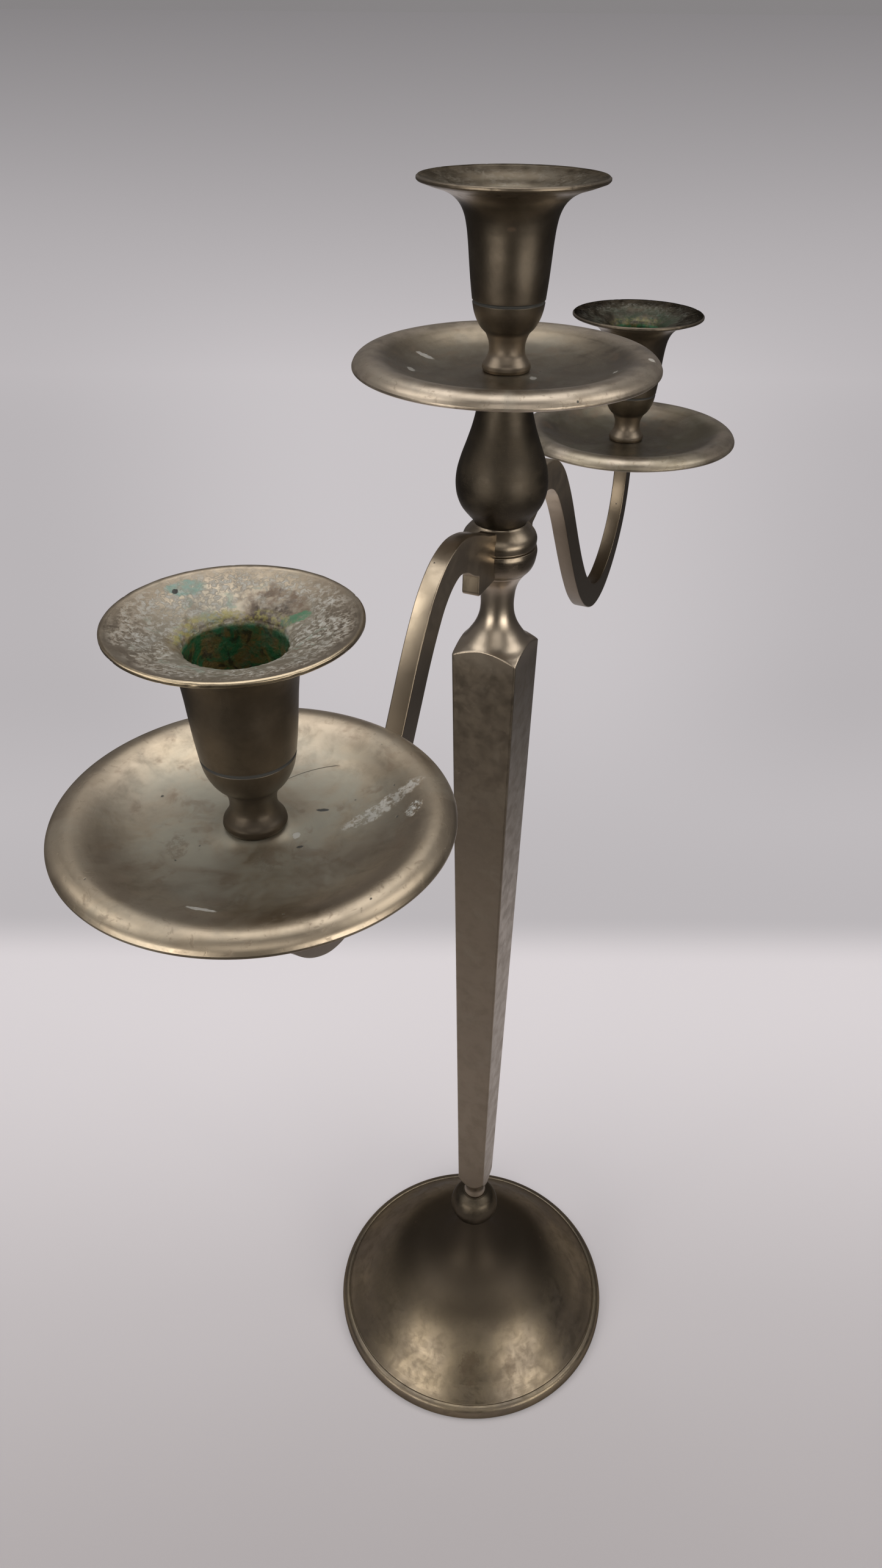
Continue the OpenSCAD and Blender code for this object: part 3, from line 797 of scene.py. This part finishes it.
def make_hub():
    """Two turned beads with a groove between them."""
    height = HUB_TOP - HUB_Z
    outline = eased([
        (3.2, 0),
        *smooth([(10.2, 0), (11.1, 1.1), (11.9, 2.8), (12.4, 5), (12.6, 7), (12.3, 8.4)], 6),
        (11.5, 8.6), (11.5, 9.1),
        *smooth([(12.2, 9.3), (12.3, 11.4), (11.8, 12.8), (10.4, 14.6), (8.8, height - 0.4)], 6),
        (8.6, height), (3.2, height),
    ], 0.25)
    turned("hub_ring", outline, (0, 0, HUB_Z), "arms", ["arm_hub"], [HUB_PLATE], turns=128)


def arm_outline():
    """The right arm's outline from the hub's foot: X is the distance from the column's axis.

    Each point of the middle line is followed by the bar's depth there. lift and gain fit its tip to
    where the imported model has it.
    """
    lift, gain = SEAT_Z - (HUB_Z - 6), REACH - 154
    depth = 10.4
    line = smooth([
        (20, 12.4, 13), (25.5, 14.8, 13), (32, 17.6, 11.6), (39.4, 19, depth), (47, 17.2, depth),
        (54.3, 12.4, depth), (60.2, 5.8, depth), (66, -2.2, depth), (72.8, -13.2, depth),
        (80, -24.8, depth), (88, -36.6, depth), (97, -47.4, depth),
        (106.6 + 0.2 * gain, -55, depth), (116.4 + 0.4 * gain, -58.6, depth - 0.2),
        (126 + 0.6 * gain, -57.8, depth - 0.6),
        (135 + 0.8 * gain, -53.2, depth - 1.2), (143.4 + gain, -45.4, depth - 2),
        (149.8 + gain, -35.4, depth - 2.6), (153.2 + gain, -24.4 + 0.5 * lift, depth - 3),
        (154 + gain, -12.6 + lift, depth - 3.2),
    ], 8)
    under, over = [], []
    for i, p in enumerate(line):
        run = line[min(i + 1, len(line) - 1)] - line[max(i - 1, 0)]
        side = Vector((run.y, -run.x)).normalized() * p.z / 2
        under.append(Vector((p.x, p.y)) + side)
        over.append(Vector((p.x, p.y)) - side)
    root_out, root_z, root_top = 25, 0.4, HUB_TOP - HUB_Z
    under = [p for p in under if p.x > root_out - 1 or p.y < 0]
    root = [(10.5, root_top), (10.5, root_z), (root_out, root_z)]
    middle = (11.2, root_top)
    whole = [middle, *root, *under, *reversed(over), (11.8, root_top), middle]
    return eased(whole, 1.6, 5, 40)[1:-1]


def make_arms():
    """A bar with a round boss under its pan, and its mirror image."""
    outline = arm_outline()
    for side, sign in (("left", -1), ("right", 1)):
        points = [Vector((sign * p.x, p.y)) for p in outline]
        if sign < 0:
            points.reverse()
        arm, at = side + "_arm", (0, 0, HUB_Z)
        bar(arm + "_bar", points, ARM_T, 0.45, at, "arms", [arm], [ARM_PLATE])
        shoulder = smooth([(3.8, 0.2), (5.2, 1.4), (6.4, 4)], 6)
        boss = eased([(0, 0), (3.4, 0), *shoulder, (6.4, BOSS), (0, BOSS)], 0.3)
        at = (sign * REACH, 0, SEAT_Z - BOSS)
        turned(arm + "_boss", boss, at, "arms", [], [ARM_PLATE], turns=96)


def make_knob():
    """The pear under the middle light."""
    top = KNOB_TOP - HUB_TOP
    pear = smooth([
        (8.6, 0.5), (9.4, 1.4), (11, 3.2), (13, 5.8), (14.3, 9), (14.8, 12.8), (14.5, 16.6),
        (13.4, 20.8), (11.4, 26.4), (10, 30.6), (8.9, 35), (8.2, 40), (8, top - 1.2),
    ], 8)
    outline = eased([(3.2, 0), (8.4, 0), *pear, (7.8, top), (3.2, top)], 0.25)
    turned("knob_pear", outline, (0, 0, HUB_TOP), "root", ["pear_knob"], [KNOB_PLATE], turns=160)


# ---- Lights ----


def make_pan(side):
    """A dished sheet with a flat seat in the middle and a rolled edge."""
    crest, thick = 5.2, 1.3
    dish = smooth([
        (8.3, -0.12), (9.6, -0.42), (12, -0.68), (16, -0.75), (22, -0.4), (0.56 * PAN_R, 0.2),
        (0.64 * PAN_R, 1.1), (0.715 * PAN_R, 2.5), (0.78 * PAN_R, 3.9), (0.835 * PAN_R, 4.8),
        (0.885 * PAN_R, crest), (0.93 * PAN_R, crest - 0.3),
        (0.965 * PAN_R, crest - 1.1), (0.99 * PAN_R, crest - 2.3), (PAN_R, crest - 3.3),
    ], 6)
    below = [
        Vector((min(p.x, PAN_R - thick), p.y))
        for p in shifted(dish, thick) if p.x > 11 and p.y > -thick - 0.8
    ]
    outline = eased([
        (3.2, -thick), (3.2, 0), (7.8, 0), *dish,
        (PAN_R, crest - 3.9), (PAN_R - 0.4, crest - 4.3), (PAN_R - thick, crest - 4.3),
        *reversed(below), (10.2, -0.8 - thick), (9.4, -thick),
    ], 0.3)

    def uneven(v):
        """A hand-worn sheet: it dips a little, and more towards the edge."""
        out = max(v.xy.length / PAN_R - 0.4, 0)
        dip = noise.noise(v * 0.03 + Vector((LIGHT_X[side], 0, 0))) * 0.3 * out
        return Vector((v.x, v.y, v.z - abs(dip)))

    pan, at = side + "_pan", (LIGHT_X[side], 0, FOOT_Z[side])
    turned(pan + "_dish", outline, at, pan, [pan], [PAN_PLATE[side]], turns=256, uneven=uneven)


def make_cup(side):
    """A flared cup. Its outline runs from the foot's hole to the middle of the socket's floor."""
    foot = FOOT_Z[side] - RIM_Z[side]
    flare_out = smooth([
        (RIM_R - 0.3, -1.3), (RIM_R - 3.5, -2.4), (19.6, -3.6), (16.8, -5.1), (14.8, -7.1),
        (13.5, -9.7), (12.8, -12.6), (12.3, -16.4), (11.9, -21), (11.4, -26.6), (10.8, -31.8),
    ], 6)
    bowl = smooth([(10.7, -32.7), (10.2, -35.2), (9.3, -37.6), (8, -39.7), (6.8, -40.9)], 6)
    waist = smooth([
        (6.3, -41.7), (5.7, -43.2), (5.4, -45.2), (5.6, foot + 5), (6.4, foot + 3.3),
        (7.2, foot + 2), (7.4, foot + 1),
    ], 6)
    flare_in = smooth([
        (THROAT_R, THROAT_Z), (THROAT_R + 0.6, -5.7), (14, -4.4), (18, -3), (RIM_R - 5.2, -1.5),
        (RIM_R - 1.2, -0.35),
    ], 8)
    outer = eased([
        (3.2, foot), (6.8, foot), (7.1, foot + 0.2), *reversed(waist), (6.5, -41.3),
        *reversed(bowl), (10.4, -32.4), (10.4, -32), *reversed(flare_out), (RIM_R, -1),
        (RIM_R, -0.4), (RIM_R - 0.5, 0),
    ], 0.22, 4, 26)
    socket = [Vector((THROAT_R, THROAT_Z - SOCKET * k / 10)) for k in range(1, 11)]
    narrower = (THROAT_R - 8.8) / 8
    taper = [Vector((THROAT_R - narrower * k, THROAT_Z - SOCKET - 1.65 * k)) for k in range(1, 9)]
    outline = [*outer, *reversed(flare_in), *socket, *taper, Vector((0, -32.4))]
    crust = {"left": 0.35, "centre": 0.08, "right": 0.15}[side]

    def uneven(v):
        """Crust round the throat, and a lip that is worn a little thin in places."""
        r = v.xy.length
        seed = Vector((LIGHT_X[side] * 1.3, 4, 9))
        if v.z > THROAT_Z - 1.5 and r < THROAT_R + 2.2:
            near = 1 - min(abs(r - THROAT_R) / 2.2, 1)
            push = noise.fractal(v * 0.7 + seed, 0.8, 2.2, 4) * crust * near
            return Vector((v.x * (1 + push / r), v.y * (1 + push / r), v.z + abs(push) * 0.4))
        if r > RIM_R - 1.5:
            nicks = max(noise.noise(v * 0.6 + seed) - 0.35, 0) * 0.5
            worn = abs(noise.noise(v * 0.12 + seed)) * 0.12 + nicks
            drop = worn * 0.3 * (v.z > -0.8)
            return Vector((v.x * (1 - worn / r), v.y * (1 - worn / r), v.z - drop))
        return v

    cup, at = side + "_cup", (LIGHT_X[side], 0, RIM_Z[side])
    turned(
        cup + "_bell", outline, at, cup, [cup], [CUP_PLATE[side], CUP_INSIDE[side]],
        inner_from=len(outer) - 1, turns=256, uneven=uneven,
    )


make_base()
make_knop()
make_column()
make_hub()
make_arms()
make_knob()
for light in SIDES:
    make_pan(light)
    make_cup(light)

HIDDEN_LOOKS = {
    "tie_rod": STEEL, "base_nut": STEEL, "base_washer": STEEL, "arm_studs": STEEL,
    "cup_studs": STEEL, "base_weight": IRON, "felt_pad": FELT, "side_pan_washers": FIBRE,
    "centre_pan_washer": FIBRE,
}
for node, look in HIDDEN_LOOKS.items():
    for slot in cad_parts[node].material_slots:
        slot.material = look

# ---- Floor, world, lights and camera ----

VIEW_AZIMUTH = math.radians(66.55)
VIEW_DOWN = math.radians(34.85)
VIEW_ROLL = math.radians(0.43)
CAMERA_AT = Vector((-0.3250, -0.1206, 0.5818))
LENS = 25.50
AHEAD = Vector((math.sin(VIEW_AZIMUTH), math.cos(VIEW_AZIMUTH), 0))
RIGHT = Vector((AHEAD.y, -AHEAD.x, 0))
CAMERA_BACK = 360.0
SHEET_RISES = (255, 310)
FLOOR = 600.0
BACKDROP = 0.24
LIT_HEIGHT = 0.3


def make_camera():
    """The photo's view: level turn, tilt down and a slight roll."""
    data = bpy.data.cameras.new("photo_view")
    data.lens = LENS
    data.sensor_width = 36
    data.clip_start = 0.01
    cam = bpy.data.objects.new("photo_view", data)
    cam.location = CAMERA_AT
    sight = AHEAD * math.cos(VIEW_DOWN) - Vector((0, 0, math.sin(VIEW_DOWN)))
    turn = sight.to_track_quat("-Z", "Y").to_matrix()
    cam.rotation_euler = (turn @ Matrix.Rotation(VIEW_ROLL, 3, "Z")).to_euler()
    bpy.context.scene.collection.objects.link(cam)
    bpy.context.scene.camera = cam


def make_floor():
    """A pale sweep. Y runs ahead of the camera, in millimetres from the object's axis.

    It glows a little, and from the place where the photo's sheet starts to rise it only glows.
    It is dim where only a reflection could show the room on the camera's side, and it is plain and
    pale where the photo's view doesn't reach.
    """
    mesh = bpy.data.meshes.new("floor")
    corners = [(-FLOOR, -FLOOR, 0), (FLOOR, -FLOOR, 0), (FLOOR, FLOOR, 0), (-FLOOR, FLOOR, 0)]
    mesh.from_pydata(corners, [], [(0, 1, 2, 3)])
    floor = bpy.data.objects.new("floor", mesh)
    floor.rotation_euler = (0, 0, -VIEW_AZIMUTH)
    bpy.context.scene.collection.objects.link(floor)
    paint = Paint("pale_sweep")
    pale, unlit, dim_room = (0.44, 0.415, 0.428), (0.02, 0.02, 0.02), (0.03, 0.028, 0.026)
    aside = paint.math("ABSOLUTE", paint.x)
    ahead = paint.math("MAXIMUM", paint.math("ADD", paint.y, CAMERA_BACK), 10.0)
    wide = paint.math("DIVIDE", aside, ahead)
    nearness = paint.math("DIVIDE", 1000.0, ahead)
    wall = paint.rise(paint.y, *SHEET_RISES)
    shade = paint.mix(wall, pale, unlit)

    # The glow is painted light and shade: weakest on the camera's side and rising away from it, and
    # far back painted dimmer to the sides.
    near = paint.rise(paint.y, -220, 260, 0.04, 0.40)
    far = paint.math("MINIMUM", paint.math("ADD", paint.times(nearness, 0.76), 0.235), 0.575)
    far = paint.times(far, paint.rise(nearness, 0.8, 1.5, 1, 0.84))
    dimmer = paint.times(paint.rise(wide, 0.10, 0.42), paint.band(nearness, 0.75, 0.2, 0.35))
    far = paint.times(far, paint.blend(dimmer, 1.0, 0.83))
    glow = paint.blend(wall, near, far)

    path = paint.add("LightPath")
    mirrored, seen = path.outputs["Is Glossy Ray"], path.outputs["Is Camera Ray"]
    room = paint.most(paint.rise(aside, 180, 520), paint.rise(paint.y, -450, -150, 1, 0))
    room = paint.times(mirrored, room)
    shade = paint.mix(room, shade, dim_room)
    glow = paint.times(glow, paint.blend(room, 1.0, 0.1))

    out_of_view = paint.most(paint.math("SUBTRACT", 1.0, wall), paint.rise(wide, 0.6, 0.9))
    outside = paint.times(seen, paint.rise(paint.r, 550, 1000), out_of_view)
    paling = paint.math("DIVIDE", 180.0, paint.math("MAXIMUM", paint.r, 500.0))
    glow = paint.blend(outside, glow, paint.math("ADD", BACKDROP, paling))
    shade = paint.mix(outside, shade, unlit)

    tint = paint.add("CombineXYZ", X=glow, Y=paint.times(glow, 0.948), Z=paint.times(glow, 0.974))
    shader = paint.add("BsdfPrincipled", Base_Color=shade, Roughness=0.85)
    paint.put(shader.inputs["Emission Color"], tint.outputs[0])
    shader.inputs["Emission Strength"].default_value = 1.0
    shader.inputs["Specular IOR Level"].default_value = 0.1
    out = paint.add("OutputMaterial")
    paint.tree.links.new(shader.outputs[0], out.inputs["Surface"])
    mesh.materials.append(paint.material)


def softbox(name, azimuth, elevation, distance, width, height, power, colour=(1, 1, 1)):
    """An area light that faces the object, azimuth degrees to the right of the camera's side."""
    a, e = math.radians(azimuth), math.radians(elevation)
    level = RIGHT * math.sin(a) - AHEAD * math.cos(a)
    out = level * math.cos(e) + Vector((0, 0, math.sin(e)))
    data = bpy.data.lights.new(name, "AREA")
    data.shape = "RECTANGLE"
    data.size, data.size_y = width, height
    data.energy = power
    data.color = colour
    lamp = bpy.data.objects.new(name, data)
    lamp.location = Vector((0, 0, LIT_HEIGHT)) + out * distance
    lamp.rotation_euler = (-out).to_track_quat("-Z", "Y").to_euler()
    bpy.context.scene.collection.objects.link(lamp)


def make_world():
    """A plain backdrop for the camera, and a dim room, paler low down behind, for reflections."""
    world = bpy.data.worlds.new("studio")
    bpy.context.scene.world = world
    world.use_nodes = True
    tree = world.node_tree
    tree.nodes.clear()
    way = tree.nodes.new("ShaderNodeTexCoord")

    def along(direction, start, end, low, high):
        """A soft step from low to high as the view turns towards a direction."""
        dot = tree.nodes.new("ShaderNodeVectorMath")
        dot.operation = "DOT_PRODUCT"
        tree.links.new(way.outputs["Generated"], dot.inputs[0])
        dot.inputs[1].default_value = direction
        step = tree.nodes.new("ShaderNodeMapRange")
        step.interpolation_type = "SMOOTHSTEP"
        tree.links.new(dot.outputs["Value"], step.inputs["Value"])
        ends = {"From Min": start, "From Max": end, "To Min": low, "To Max": high}
        for key, number in ends.items():
            step.inputs[key].default_value = number
        return step.outputs[0]

    lift = tree.nodes.new("ShaderNodeMath")
    lift.operation = "MULTIPLY_ADD"
    tree.links.new(along((0, 0, 1), 0.0, 0.3, 0.185, 0.06), lift.inputs[0])
    tree.links.new(along(AHEAD * 0.88 - RIGHT * 0.48, -0.4, 1.0, 0, 1), lift.inputs[1])
    tree.links.new(along(AHEAD, -0.7, 0.0, 0.035, 0.065), lift.inputs[2])
    seen = tree.nodes.new("ShaderNodeLightPath").outputs["Is Camera Ray"]
    shown = tree.nodes.new("ShaderNodeMix")
    tree.links.new(seen, shown.inputs["Factor"])
    tree.links.new(lift.outputs[0], shown.inputs["A"])
    shown.inputs["B"].default_value = BACKDROP
    back = tree.nodes.new("ShaderNodeBackground")
    back.inputs["Color"].default_value = (1, 0.955, 0.968, 1)
    tree.links.new(shown.outputs["Result"], back.inputs["Strength"])
    out = tree.nodes.new("ShaderNodeOutputWorld")
    tree.links.new(back.outputs[0], out.inputs["Surface"])


make_camera()
make_floor()
make_world()
softbox("top", 188, 80, 1.2, 1.0, 0.9, 6.6)
softbox("left_window", -76, 46, 1.1, 0.6, 0.55, 2.5, (1, 0.98, 0.95))
softbox("right_window", 76, 46, 1.1, 0.6, 0.55, 2.6, (1, 0.98, 0.95))
softbox("left_low", -41, 7, 1.05, 0.7, 0.3, 4.0, (1, 0.96, 0.9))
softbox("right_low", 41, 7, 1.05, 0.7, 0.3, 4.0, (1, 0.96, 0.9))
softbox("front_fill", 0, 40, 1.1, 0.7, 0.35, 1.05, (1, 0.97, 0.93))
bpy.context.scene.view_settings.view_transform = "Standard"
